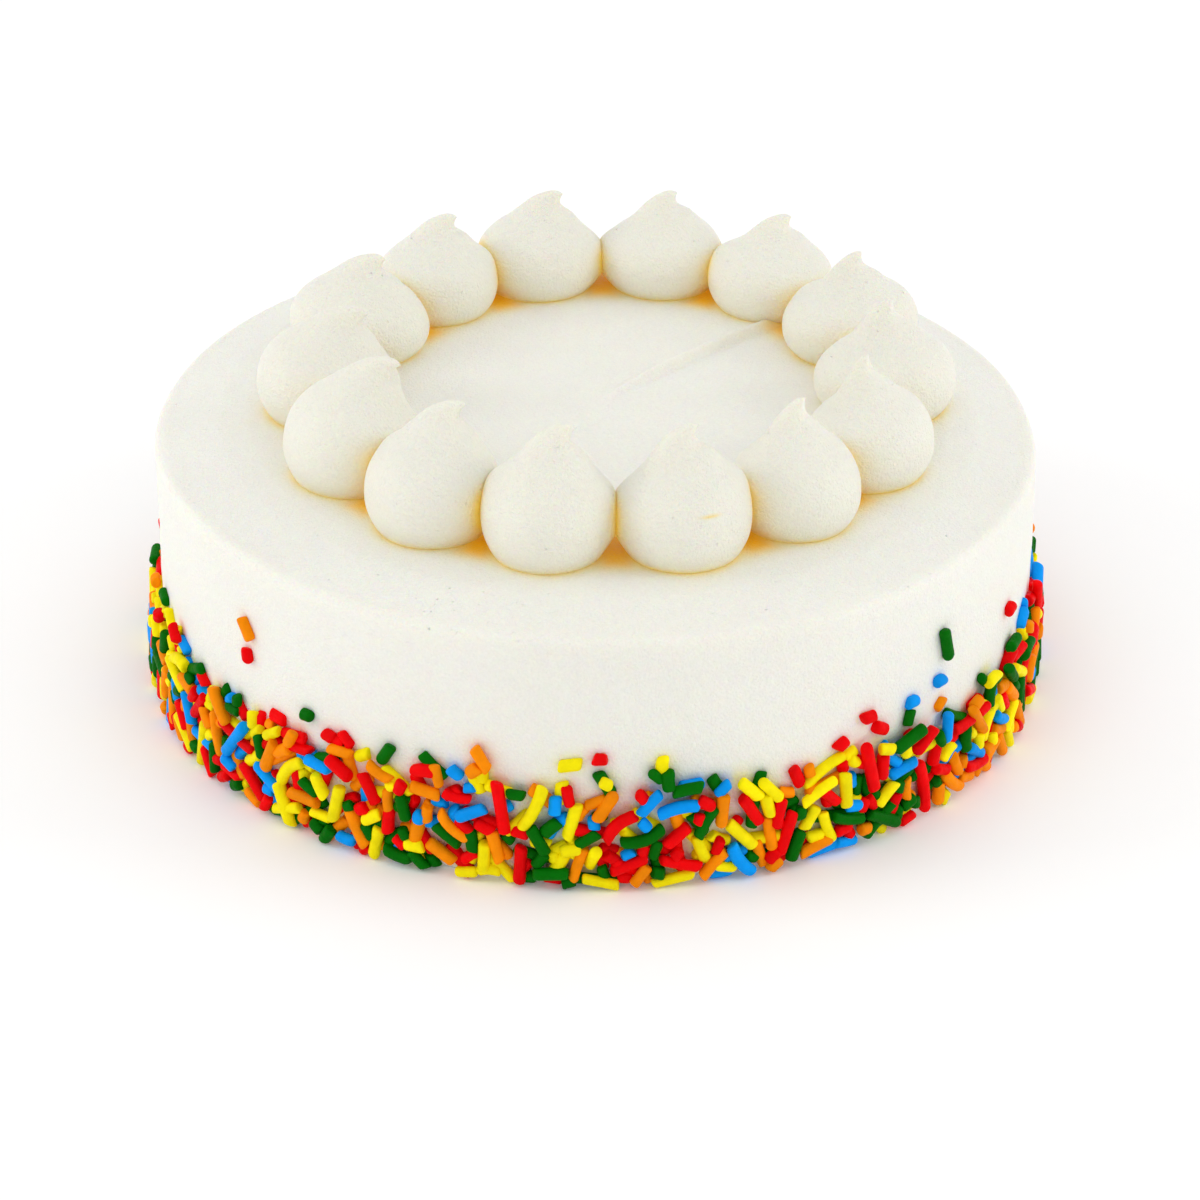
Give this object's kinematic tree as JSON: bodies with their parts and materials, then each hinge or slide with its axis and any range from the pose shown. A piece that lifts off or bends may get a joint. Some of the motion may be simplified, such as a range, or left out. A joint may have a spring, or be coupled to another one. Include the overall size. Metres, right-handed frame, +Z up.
{
  "type": "frosted birthday cake",
  "caption": "Round uncut birthday cake with smooth white frosting, a ring of piped swirls on top and a band of multicoloured sprinkles round the lower side.",
  "frame": {"origin": "middle of the flat underside, on the surface the cake stands on", "axes": "+Z up; the cake's front faces -Y and +X is to its right"},
  "size_m": [0.1616, 0.1616, 0.0714],
  "materials": {
    "frosting": "smooth soft frosting, spread flat",
    "piped_frosting": "smooth soft frosting, piped",
    "sprinkle_red": "candy gloss",
    "sprinkle_yellow": "candy gloss",
    "sprinkle_green": "candy gloss",
    "sprinkle_orange": "candy gloss",
    "sprinkle_blue": "candy gloss"
  },
  "bodies": {
    "root": {"cake": "frosting", "dollop_01": "piped_frosting", "dollop_02": "piped_frosting", "dollop_03": "piped_frosting", "dollop_04": "piped_frosting", "dollop_05": "piped_frosting", "dollop_06": "piped_frosting", "dollop_07": "piped_frosting", "dollop_08": "piped_frosting", "dollop_09": "piped_frosting", "dollop_10": "piped_frosting", "dollop_11": "piped_frosting", "dollop_12": "piped_frosting", "dollop_13": "piped_frosting", "dollop_14": "piped_frosting"}
  },
  "joints": []
}
